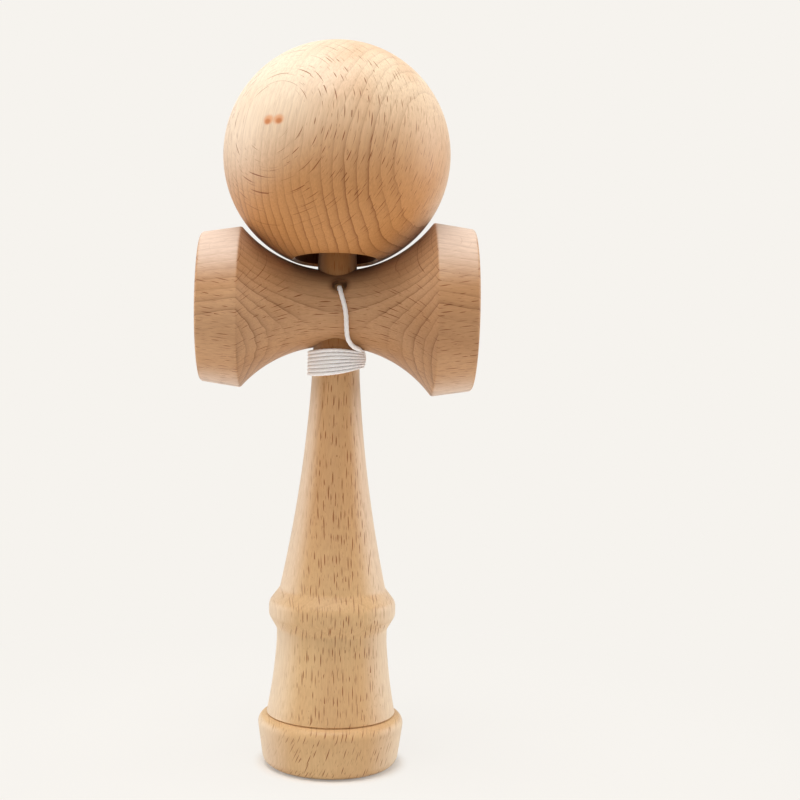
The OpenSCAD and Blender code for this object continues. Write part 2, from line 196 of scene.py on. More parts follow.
def drilled(piece, tools):
    """Takes the shapes of the tools out of the piece, and throws the tools away."""
    for tool in tools:
        cut = piece.modifiers.new("cut", "BOOLEAN")
        cut.object, cut.operation, cut.solver = tool, "DIFFERENCE", "EXACT"
    ready = piece.evaluated_get(bpy.context.evaluated_depsgraph_get())
    mesh = bpy.data.meshes.new_from_object(ready)
    piece.modifiers.clear()
    piece.data = mesh
    mesh.shade_smooth()
    mesh.set_sharp_from_angle(angle=math.radians(SHARP))
    for tool in tools:
        bpy.data.objects.remove(tool)


def along_string_hole(profile, name, drop=0.0):
    """Turned tool on the axis of the string hole; places along it count from the handle's axis."""
    tool = turned(name, profile, columns=64)
    tilt = Matrix.Rotation(math.radians(90 - STRING_HOLE_TILT), 4, "X")
    place = Matrix.Translation((TIE_X * MM, 0, CROSS_H * MM)) @ tilt @ Matrix.Translation((0, -drop * MM, 0))
    tool.data.transform(place)
    return tool


def curve(points, count):
    """Smooth line through the points, with that many steps from each to the next: a cubic, whose slope at
    each point is half the way from the point before it to the point after it."""
    p = np.asarray(points, float)
    p = np.concatenate([[2 * p[0] - p[1]], p, [2 * p[-1] - p[-2]]])
    a, b, c, d = (p[k:len(p) - 3 + k, None] for k in range(4))
    t = (np.arange(count) / count)[None, :, None]
    square, cube = 2 * a - 5 * b + 4 * c - d, 3 * b - a - 3 * c + d
    line = 0.5 * (2 * b + (c - a) * t + square * t ** 2 + cube * t ** 3)
    return np.concatenate([line.reshape(-1, p.shape[1]), p[-2:-1]])


def leaned(points, back=True):
    """Points of the upright ball, turned back about the ball's middle as the ball leans, or the other way."""
    p = np.asarray(points, float) - (BALL_X, 0, BALL_Z)
    tilt = math.radians(BALL_TILT if back else -BALL_TILT)
    y = p[:, 1] * math.cos(tilt) + p[:, 2] * math.sin(tilt)
    z = p[:, 2] * math.cos(tilt) - p[:, 1] * math.sin(tilt)
    return np.stack([p[:, 0], y, z], axis=1) + (BALL_X, 0, BALL_Z)


def lean(piece):
    """Leans a piece that was made on the upright ball."""
    middle = Matrix.Translation((BALL_X * MM, 0, BALL_Z * MM))
    piece.data.transform(middle @ Matrix.Rotation(math.radians(-BALL_TILT), 4, "X") @ middle.inverted())
    return piece


def evenly(line, step):
    """The line again with points about one step apart, and how far along it each of them lies."""
    length = np.concatenate([[0.0], np.cumsum(np.linalg.norm(np.diff(line[:, :3], axis=0), axis=1))])
    at = np.linspace(0.0, length[-1], int(round(length[-1] / step)) + 1)
    return np.stack([np.interp(at, length, column) for column in line.T], axis=1), at


def string_tube(name, line, at, outward, half_out, half_side, sides=18):
    """Twisted string along a line: an oval section, whose outline has one low swelling for each strand
    and turns once over each lay. outward is a vector for each point that the section's first axis follows."""
    way = np.gradient(line, axis=0)
    way /= np.linalg.norm(way, axis=1)[:, None]
    u = outward - np.sum(outward * way, axis=1)[:, None] * way
    u /= np.linalg.norm(u, axis=1)[:, None]
    v = np.cross(way, u)
    angle = np.linspace(0.0, 2 * math.pi, sides, endpoint=False)[None, :]
    swell = 1 + STRAND_DEPTH * np.cos(STRANDS * (angle - 2 * math.pi * at[:, None] / LAY))
    grid = (
        line[:, None]
        + (half_out[:, None] * swell * np.cos(angle))[..., None] * u[:, None]
        + (half_side[:, None] * swell * np.sin(angle))[..., None] * v[:, None]
    )
    ends = np.broadcast_to(line[[0, -1], None], (2, sides, 3))
    grid = np.concatenate([ends[:1], grid, ends[1:]])
    return mesh_of(name, grid, sharp=STRING_SHARP)


def even_string(name, points):
    """Round string along a line: the piece, its points one step apart, and how far along each lies."""
    line, at = evenly(points, TUBE_STEP)
    side = np.broadcast_to((1.0, 0.0, 0.0), line.shape)
    half = np.full(len(line), STRING_D / 2)
    return string_tube(name, line, at, side, half, half), line, at


# Camera and light

LENS_PX, MIDDLE_PX, FRAME_PX, SENSOR = 1313.7, 335.4, 800.0, 36.0
CAMERA_PLACE, CAMERA_DIP, CAMERA_ROLL = (0, -0.350, 0.1098), 2.05, 0.90
camera = bpy.data.objects.new("camera", bpy.data.cameras.new("camera"))
camera.data.sensor_width = SENSOR
camera.data.lens = LENS_PX / FRAME_PX * SENSOR
camera.data.shift_x = (FRAME_PX / 2 - MIDDLE_PX) / FRAME_PX
camera.data.clip_start = 0.01
camera.matrix_world = (
    Matrix.Translation(CAMERA_PLACE)
    @ Matrix.Rotation(math.radians(90 - CAMERA_DIP), 4, "X")
    @ Matrix.Rotation(math.radians(CAMERA_ROLL), 4, "Z")
)
bpy.context.scene.collection.objects.link(camera)
bpy.context.scene.camera = camera
bpy.context.scene.view_settings.view_transform = "Standard"


def lamp(name, place, aim, size, power, colour):
    """Square soft lamp at a place in metres, turned towards its aim."""
    data = bpy.data.lights.new(name, "AREA")
    data.size, data.energy, data.color = size, power, colour
    light = bpy.data.objects.new(name, data)
    light.visible_camera = False
    way = Matrix.Translation(aim).to_translation() - Matrix.Translation(place).to_translation()
    light.matrix_world = Matrix.Translation(place) @ way.to_track_quat("-Z", "Y").to_matrix().to_4x4()
    bpy.context.scene.collection.objects.link(light)


lamp("overhead", (-0.08, -0.18, 0.95), (0, 0, 0.13), size=0.5, power=7.4, colour=(1.0, 0.985, 0.97))
lamp("left", (-0.65, 0.12, 0.25), (0, 0, 0.10), size=0.4, power=1.8, colour=(1.0, 0.995, 0.985))
lamp("right", (0.65, 0.12, 0.25), (0, 0, 0.10), size=0.4, power=2.2, colour=(1.0, 0.995, 0.985))
lamp("front", (-0.10, -0.90, 0.12), (0, 0, 0.04), size=0.5, power=0.9, colour=(1.0, 0.985, 0.97))


def linear(red, green, blue):
    """Colour of the 0 to 255 scale as the linear numbers that a shader takes."""
    c = np.array([red, green, blue], float) / 255
    c = np.where(c <= 0.04045, c / 12.92, ((c + 0.055) / 1.055) ** 2.4)
    return (*[float(x) for x in c], 1.0)


class Finish:
    """One node material; each call adds a node, and what it gives back can feed the next."""

    def __init__(self, tree):
        self.tree = tree
        self.tree.nodes.clear()

    def add(self, kind, inputs=None, **settings):
        """Node of a kind, whose inputs are linked where they are sockets and set where they are values."""
        node = self.tree.nodes.new(kind)
        for key, value in settings.items():
            setattr(node, key, value)
        for key, value in (inputs or {}).items():
            if isinstance(value, bpy.types.NodeSocket):
                self.tree.links.new(value, node.inputs[key])
            else:
                node.inputs[key].default_value = value
        return node

    def math(self, operation, *values):
        """One sum on numbers."""
        return self.add("ShaderNodeMath", dict(enumerate(values)), operation=operation).outputs[0]

    def vector(self, operation, *values, out=0):
        """One sum on vectors; out is 1 where it gives a number."""
        return self.add("ShaderNodeVectorMath", dict(enumerate(values)), operation=operation).outputs[out]

    def joined(self, x, y, z):
        """Vector of three numbers."""
        return self.add("ShaderNodeCombineXYZ", {0: x, 1: y, 2: z}).outputs[0]

    def parts(self, vector):
        """The three numbers of a vector."""
        return self.add("ShaderNodeSeparateXYZ", {0: vector}).outputs

    def noise(self, vector, scale, detail=2.0, rough=0.5):
        """Smooth noise from 0 to 1."""
        inputs = {"Vector": vector, "Scale": scale, "Detail": detail, "Roughness": rough}
        return self.add("ShaderNodeTexNoise", inputs).outputs[0]

    def ranged(self, value, low, high, to_low=0.0, to_high=1.0, kind="SMOOTHSTEP"):
        """The value's way from low to high, carried over to the way from to_low to to_high."""
        inputs = {0: value, 1: low, 2: high, 3: to_low, 4: to_high}
        return self.add("ShaderNodeMapRange", inputs, interpolation_type=kind).outputs[0]

    def mixed(self, share, a, b, blend="MIX"):
        """Colour a with that share of colour b."""
        node = self.add("ShaderNodeMix", {0: share, 6: a, 7: b}, data_type="RGBA", blend_type=blend)
        return node.outputs[2]

    def seen(self):
        """One for what is seen straight, in gloss or through glass, and zero for light on the object."""
        path = self.add("ShaderNodeLightPath").outputs
        straight = self.math("MAXIMUM", path["Is Camera Ray"], path["Is Glossy Ray"])
        return self.math("MAXIMUM", straight, path["Is Transmission Ray"])


def material(name):
    """New node material and the tree to fill."""
    made = bpy.data.materials.new(name)
    made.use_nodes = True
    return made, Finish(made.node_tree)


# Backdrop: the same pale colour above and below, with a faint shadow on the floor

PALE = linear(246, 243, 238)
FLOOR_HALF = 3000.0
world = bpy.data.worlds.new("studio")
world.use_nodes = True
bpy.context.scene.world = world
sky = Finish(world.node_tree)
backdrop = sky.add("ShaderNodeBackground", {"Color": PALE, "Strength": 1.0})
height = sky.parts(sky.add("ShaderNodeTexCoord").outputs["Generated"])[2]
brightness = sky.ranged(height, 0.05, 0.8, 0.06, 0.5)
dome = sky.add("ShaderNodeBackground", {"Color": linear(255, 252, 247), "Strength": brightness})
mix = sky.add("ShaderNodeMixShader", {0: sky.seen(), 1: dome.outputs[0], 2: backdrop.outputs[0]})
sky.add("ShaderNodeOutputWorld", {0: mix.outputs[0]})

floor_y, floor_x = np.meshgrid((-FLOOR_HALF, FLOOR_HALF), (-FLOOR_HALF, FLOOR_HALF), indexing="ij")
floor = mesh_of("floor", np.stack([floor_x, floor_y, np.zeros((2, 2))], axis=-1), round_columns=False)
floor_finish, f = material("floor_paint")
paint = f.add("ShaderNodeBsdfDiffuse", {"Color": linear(234, 231, 227)})
glow = f.add("ShaderNodeEmission", {"Color": PALE, "Strength": 1.0})
away = f.vector("LENGTH", f.add("ShaderNodeTexCoord").outputs["Object"], out=1)
share = f.math("MULTIPLY", f.seen(), f.ranged(away, 0.02, 0.18, 0.90, 1.0))
share = f.math("MULTIPLY", share, f.ranged(away, 0.0178, 0.0215, 0.3, 1.0))
mix = f.add("ShaderNodeMixShader", {0: share, 1: paint.outputs[0], 2: glow.outputs[0]})
f.add("ShaderNodeOutputMaterial", {0: mix.outputs[0]})
floor.data.materials.append(floor_finish)


# Wood

# Noise in waves for each millimetre across the rays, across the growth rings and along the fibres
SLOW_WAVES, QUICK_WAVES = (0.045, 0.03, 0.012), (0.5, 0.2, 0.10)
STREAK_WAVES, TONE_WAVES = (2.6, 2.6, 0.10), (0.05, 0.05, 0.025)
# Rays: room of each one in the three directions, half its width and half its length, how many there are
COARSE_RAYS = {"room": (1.2, 11.0, 5.0), "half_t": 0.085, "half_f": 1.7, "share": 0.75, "shift": 0.0}
FINE_RAYS = {"room": (0.7, 7.0, 2.6), "half_t": 0.06, "half_f": 0.7, "share": 0.5, "shift": 7.3}
RAY_STAIN = (0.40, 0.18, 0.07, 1.0)


def wood(name, fibre, ring, side, pale, tan, late, ring_step=2.4, ring_share=0.45, bend=3.0,
         fade=(0.75, 0.95), painted_sheen=None, painted_sheen_way=None, painted_sheen_span=None, tone_and_shade_by_height=None, seed=0.0,
         knots_and_painted_shade=(), gloss=0.3, dash=1.0, sway=None):
    """Beech, worked out in the board's own directions: f along the fibres, p across the growth rings,
    t across the rays.
    A growth ring darkens slowly along p and ends in a sharp edge at each whole number of p / ring_step,
    bent by slow noise. It fades where the board is cut flat along the rings.
    A ray is a thin lens, short along f, very thin along t and long along p. It is a dark dash where the
    surface faces along p. It gets thinner where the surface faces along t, and fades there between the
    two shares of fade. It also fades where the surface faces along f. dash widens the rays, and below the
    place sway[0] along the fibres they slant by sway[1].
    Fibres are noise that is drawn out along f. painted_sheen is a paler colour painted on the faces along
    painted_sheen_way, a painted sheen and highlight where the lamps light those faces, and comes in between
    the two distances from the middle in painted_sheen_span.
    Between the first two heights of tone_and_shade_by_height the rings weaken to its third number and the
    colour gets paler: partly the wood's own tone, and partly painted light and shade, paler where more light
    falls and darker in shade.
    knots_and_painted_shade are small darker spots, duller than the rest: middle, one over the reach, and
    colour. Some are knots in the wood; the others are painted shade in hollows and under other parts."""
    fibre, ring, side = (np.asarray(d, float) / np.linalg.norm(d) for d in (fibre, ring, side))
    fibre, ring, side = (tuple(float(x) for x in d) for d in (fibre, ring, side))
    made, n = material(name)
    coords = n.add("ShaderNodeTexCoord").outputs
    here = n.vector("MULTIPLY", coords["Object"], (1000.0,) * 3)
    place = n.vector("ADD", here, (seed, seed * 0.7, seed * 0.3))
    t, p, f = (n.vector("DOT_PRODUCT", place, d, out=1) for d in (side, ring, fibre))

    def faced(direction):
        """How far the surface faces along a direction, either way: the size of the dot product."""
        return n.math("ABSOLUTE", n.vector("DOT_PRODUCT", coords["Normal"], direction, out=1))

    def grain(waves, detail=2.0, rough=0.5):
        """Noise in the board's own directions."""
        scaled = (n.math("MULTIPLY", along, wave) for along, wave in zip((t, p, f), waves))
        return n.noise(n.joined(*scaled), 1.0, detail, rough)

    facing, flat, end = faced(side), faced(ring), faced(fibre)
    slow, quick = grain(SLOW_WAVES), grain(QUICK_WAVES)
    streak, tone = grain(STREAK_WAVES, 3.0, 0.6), grain(TONE_WAVES)

    bent = n.math("MULTIPLY_ADD", slow, bend, p)
    bent = n.math("MULTIPLY_ADD", quick, 0.7, bent)
    count = n.math("DIVIDE", bent, ring_step)
    saw = n.math("FRACT", count)
    rising = n.math("MULTIPLY", n.math("POWER", saw, 2.5), 0.45)
    edge = n.math("MULTIPLY", n.math("POWER", saw, 10.0), 0.55)
    whole = n.math("FLOOR", count)
    chance = n.add("ShaderNodeTexWhiteNoise", {"W": whole}, noise_dimensions="1D").outputs["Value"]
    rings = n.math("MULTIPLY", n.math("ADD", rising, edge), n.ranged(chance, 0.0, 1.0, 0.45, 1.0, "LINEAR"))
    rings = n.math("MULTIPLY", rings, n.ranged(flat, 0.7, 0.98, 1.0, 0.12))

    bow = n.math("MULTIPLY_ADD", slow, 3.0, t)
    if sway:
        below = n.math("MAXIMUM", n.math("SUBTRACT", sway[0], f), 0.0)
        bow = n.math("MULTIPLY_ADD", below, sway[1], bow)
    narrow = n.ranged(facing, 0.8, 1.0, 1.0, 0.25)

    def rays(room, half_t, half_f, share, shift):
        """One ray in each cell of a jittered grid: where t from its middle is less than its half width times
        one minus the square of f over its half length."""
        cells = tuple(1 / size for size in room)
        spot = n.vector("MULTIPLY_ADD", n.joined(bow, p, f), cells, (shift,) * 3)
        cell = n.add("ShaderNodeTexVoronoi", {"Vector": spot, "Scale": 1.0, "Randomness": 1.0}).outputs
        off = n.parts(n.vector("MULTIPLY", n.vector("SUBTRACT", spot, cell["Position"]), room))
        odds = n.parts(cell["Color"])
        length = n.ranged(odds[0], 0.0, 1.0, half_f * 0.5, half_f * 1.3, "LINEAR")
        thick = n.ranged(odds[1], 0.0, 1.0, half_t * dash * 0.6, half_t * dash * 1.3, "LINEAR")
        reach = n.math("DIVIDE", off[2], length)
        lens = n.math("SUBTRACT", 1.0, n.math("MULTIPLY", reach, reach))
        aside = n.math("DIVIDE", n.math("ABSOLUTE", off[0]), narrow)
        mask = n.ranged(n.math("SUBTRACT", n.math("MULTIPLY", lens, thick), aside), -0.03, 0.06)
        return n.math("MULTIPLY", mask, n.math("LESS_THAN", odds[2], share))

    dashes = n.math("MAXIMUM", rays(**COARSE_RAYS), n.math("MULTIPLY", rays(**FINE_RAYS), 0.5))
    dashes = n.math("MULTIPLY", dashes, n.ranged(facing, fade[0], fade[1], 0.95, 0.2))
    dashes = n.math("MULTIPLY", dashes, n.ranged(end, 0.5, 0.95, 1.0, 0.3))

    tone = n.ranged(tone, 0.3, 0.7)
    # Partly painted light and shade: the colour changes with height, for the wood's own tone and for where
    # light and shade fall.
    if tone_and_shade_by_height:
        low, high, weakest = tone_and_shade_by_height
        level = n.parts(here)[2]
        rings = n.math("MULTIPLY", rings, n.ranged(level, low, high, 1.0, weakest))
        tone_and_shade_share = n.ranged(level, low, high, 1.0, 0.2)
        tone = n.math("MAXIMUM", n.math("MULTIPLY", tone, 0.6), n.math("MULTIPLY", tone_and_shade_share, 0.9))
    colour = n.mixed(tone, pale, tan)
    # Painted sheen and highlight: faces that turn the given way, where the lamps light them, are painted a
    # paler colour.
    if painted_sheen:
        rings = n.math("MULTIPLY", rings, n.ranged(facing, 0.55, 0.95, 1.0, 0.3))
        painted_sheen_mask = faced(painted_sheen_way)
        if painted_sheen_span:
            painted_sheen_mask = n.math("MULTIPLY", painted_sheen_mask, n.ranged(n.math("ABSOLUTE", n.parts(here)[0]), *painted_sheen_span))
        colour = n.mixed(n.ranged(painted_sheen_mask, 0.45, 1.0, 0.0, 0.6), colour, painted_sheen)
    colour = n.mixed(n.ranged(streak, 0.35, 0.75, 0.0, 0.24, "LINEAR"), colour, late)
    colour = n.mixed(n.math("MULTIPLY", rings, ring_share), colour, late)
    colour = n.mixed(dashes, colour, RAY_STAIN, "MULTIPLY")
    # Some of these spots are painted shade in hollows and under other parts; the others are knots in the
    # wood.
    for centre, reach, knot_or_shade_colour in knots_and_painted_shade:
        distance = n.vector("LENGTH", n.vector("MULTIPLY", n.vector("SUBTRACT", here, centre), reach), out=1)
        colour = n.mixed(n.ranged(distance, 0.35, 1.0, 0.8, 0.0), colour, knot_or_shade_colour)
        gloss = n.math("MULTIPLY", gloss, n.ranged(distance, 0.45, 1.0))
    relief = n.math("MULTIPLY_ADD", dashes, -0.6, n.math("MULTIPLY", streak, 0.5))
    bump = n.add("ShaderNodeBump", {"Strength": 0.25, "Distance": 0.00012, "Height": relief})
    rough = n.ranged(streak, 0.3, 0.7, 0.40, 0.54, "LINEAR")
    shader = n.add("ShaderNodeBsdfPrincipled", {
        "Base Color": colour, "Roughness": rough, "Specular IOR Level": gloss, "Normal": bump.outputs[0],
        "Sheen Weight": 0.06, "Sheen Roughness": 0.5,
    })
    n.add("ShaderNodeOutputMaterial", {0: shader.outputs[0]})
    return made


def string_cotton(name):
    """White twisted cotton: a faint mottle of fibres, darker in the grooves by the shape itself."""
    made, n = material(name)
    place = n.add("ShaderNodeTexCoord").outputs["Object"]
    fluff = n.noise(place, 2600.0, 3.0, 0.6)
    slow = n.noise(place, 260.0)
    colour = n.mixed(n.ranged(fluff, 0.3, 0.7), linear(244, 242, 244), linear(253, 252, 252))
    colour = n.mixed(n.ranged(slow, 0.4, 0.7, 0.0, 0.3), colour, linear(245, 242, 241))
    bump = n.add("ShaderNodeBump", {"Strength": 0.4, "Distance": 0.0001, "Height": fluff})
    shader = n.add("ShaderNodeBsdfPrincipled", {
        "Base Color": colour, "Roughness": 0.85, "Specular IOR Level": 0.2, "Normal": bump.outputs[0],
        "Sheen Weight": 0.2, "Sheen Roughness": 0.5,
    })
    n.add("ShaderNodeOutputMaterial", {0: shader.outputs[0]})
    return made


handle_wood = wood(
    "handle_beech", fibre=(0, 0, 1), ring=(0.17, -0.985, 0), side=(0.985, 0.17, 0),
    pale=linear(222, 189, 141), tan=linear(200, 155, 108), late=linear(150, 98, 54), ring_share=0.4,
    # Painted sheen: the handle's sides are painted paler, where the side lamps light them.
    painted_sheen=linear(239, 223, 202), painted_sheen_way=(1, 0, 0),
    # Painted light and shade: the handle is paler towards the base, lit from the floor, and darker towards
    # the top, in the shade of the crosspiece; its rings also weaken towards the base.
    tone_and_shade_by_height=(80.0, 20.0, 0.2), fade=(0.5, 0.88), dash=1.35, sway=(15.0, 0.3),
    # Painted shade: the neck is darker just under the crosspiece, and the spike darker where the ball sits
    # over it.
    knots_and_painted_shade=[
        ((0, 0, 113.0), (0.07, 0.07, 0.24), linear(132, 84, 46)),
        ((0, 0, 137.0), (0.07, 0.07, 0.06), linear(150, 94, 48)),
    ],
)
crosspiece_wood = wood(
    "crosspiece_beech", fibre=(1, 0, 0), ring=(0, -0.77, -0.64), side=(0, 0.64, -0.77), seed=31.0,
    pale=linear(205, 161, 120), tan=linear(189, 142, 99), late=linear(118, 70, 36),
    ring_step=2.2, ring_share=0.85,
    # Painted highlight: the tops and feet of the rims are painted paler, where the overhead lamp and the
    # floor light them.
    painted_sheen=linear(241, 227, 215), painted_sheen_way=(0, -0.28, 0.96), painted_sheen_span=(14.0, 27.0),
    # Painted shade: the waist is darker under the ball, and the wood round the mouth of the string hole is
    # darker, where shade falls in it.
    knots_and_painted_shade=[
        ((-0.6, 0, 134), (0.04, 0.075, 0.085), linear(116, 66, 30)),
        ((0.6, -8.1, 127.5), (0.28, 0.28, 0.28), linear(84, 44, 22)),
    ],
)
BALL_BOARD = {"fibre": (0.14, 0.205, 0.96), "ring": (0.86, -0.46, -0.12), "side": (-0.56, -0.80, 0.20)}
ball_wood = wood(
    "ball_beech", **BALL_BOARD, seed=77.0,
    pale=linear(243, 225, 196), tan=linear(199, 134, 64), late=linear(128, 70, 28),
    # Partly painted light and shade: the ball is darker and more orange low down, with stronger rings, and
    # paler at the top; part of this is the wood's own tone, part painted shade below and painted light above.
    ring_step=2.35, ring_share=0.95, bend=5.0, fade=(0.93, 0.995), tone_and_shade_by_height=(148.0, 182.0, 0.36),
    # Painted highlight: the ball's upper left is painted paler, where the overhead lamp falls.
    painted_sheen=linear(242, 227, 205), painted_sheen_way=(-0.75, -0.45, 0.48),
    knots_and_painted_shade=[
        ((-17.56, -24.18, 167.0), (0.48, 0.48, 0.58), linear(222, 158, 114)),
        ((-15.02, -25.8, 166.88), (0.48, 0.48, 0.58), linear(222, 158, 114)),
        ((-17.75, -24.05, 166.55), (0.8, 0.8, 1.0), linear(194, 120, 74)),
        ((-14.95, -25.94, 166.5), (0.8, 0.8, 1.0), linear(194, 120, 74)),
        # Painted shade: a darker ring round the mouth of the bore.
        ((-0.6, -2.9, 134.1), (0.066, 0.066, 0.066), linear(150, 94, 48)),
    ],
)
# Painted shade: a much darker beech for the inside of the ball's bore, where shade falls.
painted_shade_bore_wood = wood(
    "bore_beech_painted_shade", **BALL_BOARD,
    pale=linear(112, 66, 32), tan=linear(86, 46, 20), late=linear(60, 30, 12), gloss=0.05,
)
bead_wood = wood(
    "bead_beech", fibre=(0, 0, 1), ring=(1, 0, 0), side=(0, 1, 0), seed=13.0,
    pale=linear(220, 182, 140), tan=linear(205, 164, 118), late=linear(150, 100, 58),
)
white_string = string_cotton("white_cotton")


def finished(piece, finish, body, slot, *nodes):
    """Gives a piece its material, lets it ride on a body and stand for its nodes."""
    piece.data.materials.clear()
    piece.data.materials.append(finish)
    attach(piece, body)
    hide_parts(*nodes)


# Handle

ring_low, ring_high = RING_H - RING_CROWN_W / 2, RING_H + RING_CROWN_W / 2
base_dish = dish(BASE_CUP_R, BASE_CUP_DEPTH)
crease_z = BASE_H - CREASE_DROP
grip_low, grip_high = (GRIP_R, crease_z), (GRIP_WAIST_R, GRIP_WAIST_H)
taper_low, neck_low = (TAPER_R, ring_high + RING_FLANK_W), (NECK_R, NECK_H)
spike_low, spike_high = (SPIKE_R, CROSS_H + TENON_HALF), (TIP_R, CROSS_H + SPIKE_LEN)
# The round upper edge of the base ends at the grip, in a fine cut
base_edge = rounded((FOOT_R, 0), (BASE_R, BASE_H), grip_low, BASE_ROUND)
base_edge = base_edge[base_edge[:, 0] > GRIP_R + CREASE_LEDGE]
handle_line = outline(
    sharp_corners(base_dish[:-1])
    + [(BASE_CUP_R, 0, CUP_ROUND), (FOOT_R, 0, FOOT_ROUND)]
    + sharp_corners(base_edge)
    + [(GRIP_R - CREASE_CUT_DEPTH, crease_z, 0), (GRIP_R - CREASE_LIP, crease_z + CREASE_CUT_H, 0)]
    + bulge(grip_low, grip_high, -GRIP_HOLLOW)
    + [(*grip_high, 0), (GRIP_WAIST_R, ring_low - RING_FLANK_W, RING_ROUND)]
    + [(RING_R, ring_low, RING_ROUND), (RING_R, ring_high, RING_ROUND), (*taper_low, RING_ROUND)]
    + bulge(taper_low, neck_low, -TAPER_HOLLOW)
    + [(*neck_low, 0), (TENON_LOW_R, CROSS_H - TENON_HALF, 0), (*spike_low, 0)]
    + bulge(spike_low, spike_high, SPIKE_CROWN)
    + [(*spike_high, TIP_ROUND), (0, spike_high[1], 0)]
)
handle = turned("handle", filled(handle_line, longest=1.4))
channel_line = rod(TIE_HOLE_R, TIE_HOLE_FLOOR - CUT_OVERRUN, TIE_END)
knot_seat_line = rod(KNOT_HOLE_R, TIE_HOLE_FLOOR - WAIST_R, TIE_HOLE_FLOOR)
channel = along_string_hole(channel_line, "channel_tool", TIE_DROP)
knot_seat = along_string_hole(knot_seat_line, "knot_seat_tool", TIE_DROP)
drilled(handle, [channel, knot_seat])
finished(handle, handle_wood, "ken", "handle_wood", "ken_handle")


# Crosspiece

def flank(side, ridge_r):
    """Half of the saddle from the waist to a ridge: one arc that is level at the waist."""
    reach, rise = RIDGE_X + side * WAIST_SHIFT, ridge_r - WAIST_R
    arc_r = (reach ** 2 + rise ** 2) / (2 * rise)
    x = np.linspace(0.0, reach, 40)[:-1]
    return [(WAIST_R + arc_r - math.sqrt(arc_r ** 2 - q * q), side * q - WAIST_SHIFT, 0) for q in x]


small_dish, big_dish = dish(SMALL_CUP_R, SMALL_CUP_DEPTH), dish(BIG_CUP_R, BIG_CUP_DEPTH)
cross_line = outline(
    [(r, d - HALF_LEN, 0) for r, d in small_dish[:-1]]
    + [(SMALL_CUP_R, -HALF_LEN, CUP_ROUND), (SMALL_RIM_R, -HALF_LEN, RIM_ROUND)]
    + [(SMALL_RIDGE_R, -RIDGE_X, RIDGE_ROUND)]
    + flank(-1, SMALL_RIDGE_R)[::-1]
    + flank(1, BIG_RIDGE_R)[1:]
    + [(BIG_RIDGE_R, RIDGE_X, RIDGE_ROUND)]
    + [(BIG_RIM_R, HALF_LEN, RIM_ROUND), (BIG_CUP_R, HALF_LEN, CUP_ROUND)]
    + [(r, HALF_LEN - d, 0) for r, d in big_dish[:-1][::-1]]
)
crosspiece = turned("crosspiece", filled(cross_line, longest=1.2), axis="X", centre=(0, 0, CROSS_H))
low, high = CROSS_H - TENON_HALF, CROSS_H + TENON_HALF
bore_low, bore_high = TENON_LOW_R + TAPER_PLAY, SPIKE_R + TAPER_PLAY
bore_line = np.array([[0, low], [bore_low, low], [bore_high, high], [0, high]])
hole_line = np.array([
    (0, 0), (STRING_HOLE_R, 0), (STRING_HOLE_R, HOLE_FLARE_LOW), *HOLE_FLARE, (0, HOLE_FLARE[-1][1]),
])
bore_tool = turned("bore_tool", bore_line, columns=128)
hole_tool = along_string_hole(hole_line, "hole_tool")
drilled(crosspiece, [bore_tool, hole_tool])
finished(crosspiece, crosspiece_wood, "crosspiece", "crosspiece_wood", "sarado_crosspiece")


# Ball

slope = math.atan2(BORE_CONE_H, BORE_R - TOP_HOLE_R)
bore_end_z = BEAD_Z + (BEAD_R + SEAT_GAP) / math.cos(slope) - TOP_HOLE_R * math.tan(slope)
top_z = BALL_Z + math.sqrt(BALL_R ** 2 - TOP_FLARE_R ** 2)
flare_low, flare_corner = (TOP_HOLE_R, top_z - TOP_HOLE_LEG), (TOP_HOLE_R, top_z - TOP_FLARE_DROP)
flare_high = (TOP_FLARE_R + TOP_FLARE_LEG, top_z + TOP_FLARE_RISE)
flare = rounded(flare_low, flare_corner, flare_high, TOP_FLARE_ROUND, TOP_FLARE_POINTS)
angle = np.linspace(math.asin(TOP_FLARE_R / BALL_R), math.pi - math.asin(BORE_MOUTH_R / BALL_R), 150)
skin = np.stack([BALL_R * np.sin(angle), BALL_Z + BALL_R * np.cos(angle)], axis=1)
ball_line = outline(
    [(TOP_HOLE_R, top_z - TOP_HOLE_START, 0)]
    + sharp_corners(flare)
    + sharp_corners(skin)
    + [(BORE_R, MOUTH_Z + BORE_EDGE_H, BORE_MOUTH_ROUND), (BORE_R, bore_end_z - BORE_CONE_H, BORE_END_ROUND)]
    + [(TOP_HOLE_R, bore_end_z, BORE_END_ROUND), (TOP_HOLE_R, top_z - TOP_HOLE_END, 0)]
)
ball = lean(turned("ball", filled(ball_line, longest=1.3), centre=(BALL_X, 0, 0), closed=True))
finished(ball, ball_wood, "ball", "ball_wood", "tama_ball")

# Painted shade: the drilled faces of the ball get a much darker beech: those nearer to the bore's axis than
# its wall and below its end
ball.data.materials.append(painted_shade_bore_wood)
middles = np.empty(len(ball.data.polygons) * 3)
ball.data.polygons.foreach_get("center", middles)
upright = leaned(middles.reshape(-1, 3) / MM, back=False)
inside = np.hypot(upright[:, 0] - BALL_X, upright[:, 1]) < BORE_R + WALL_SLACK
inside &= upright[:, 2] < bore_end_z
ball.data.polygons.foreach_set("material_index", inside.astype(np.int32))


# Bead and knots

angle = np.linspace(math.asin(BEAD_HOLE_R / BEAD_R), math.pi - math.asin(BEAD_HOLE_R / BEAD_R), 40)
bead_line = np.concatenate([
    np.stack([BEAD_R * np.sin(angle), BEAD_Z + BEAD_R * np.cos(angle)], axis=1),
    steps((BEAD_HOLE_R, BEAD_Z - BEAD_HOLE_HALF), (BEAD_HOLE_R, BEAD_Z + BEAD_HOLE_HALF), 6),
])
bead = lean(turned("bead", bead_line, centre=(BALL_X, 0, 0), columns=64, closed=True))
finished(bead, bead_wood, "swivel", "bead_wood", "string_bead")


